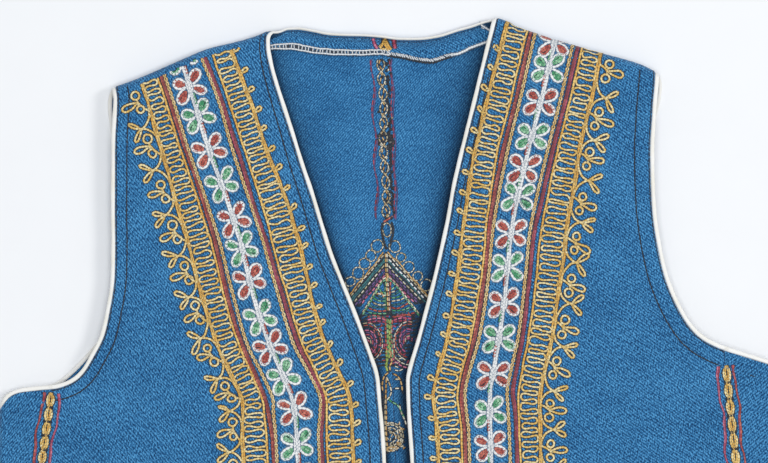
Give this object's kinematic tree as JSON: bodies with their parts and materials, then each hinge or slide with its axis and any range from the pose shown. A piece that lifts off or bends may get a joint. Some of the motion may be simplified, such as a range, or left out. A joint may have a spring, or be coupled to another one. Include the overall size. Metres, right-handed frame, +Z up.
{
  "type": "embroidered folk vest",
  "caption": "Sleeveless open-front vest laid flat, V neck and armholes edged with ivory piping, chain-stitch floral and meander bands up both fronts.",
  "frame": {"origin": "bottom centre of the bounding box, on the surface that the vest lies on", "axes": "+X to the wearer's left, +Y from the hem towards the neck, +Z up from the surface"},
  "size_m": [0.5579, 0.5227, 0.0145],
  "materials": {
    "wool": "matt wool twill with a visible rib",
    "wool_inside": "matt wool twill, the reverse side",
    "piping": "folded woven strip, slightly shiny"
  },
  "bodies": {
    "root": {"front_right": "wool", "front_left": "wool", "back_right": "wool", "back_left": "wool", "neck_facing_right": "wool_inside", "neck_facing_left": "wool_inside", "armhole_piping_right": "piping", "armhole_piping_left": "piping", "edge_piping": "piping"}
  },
  "joints": []
}
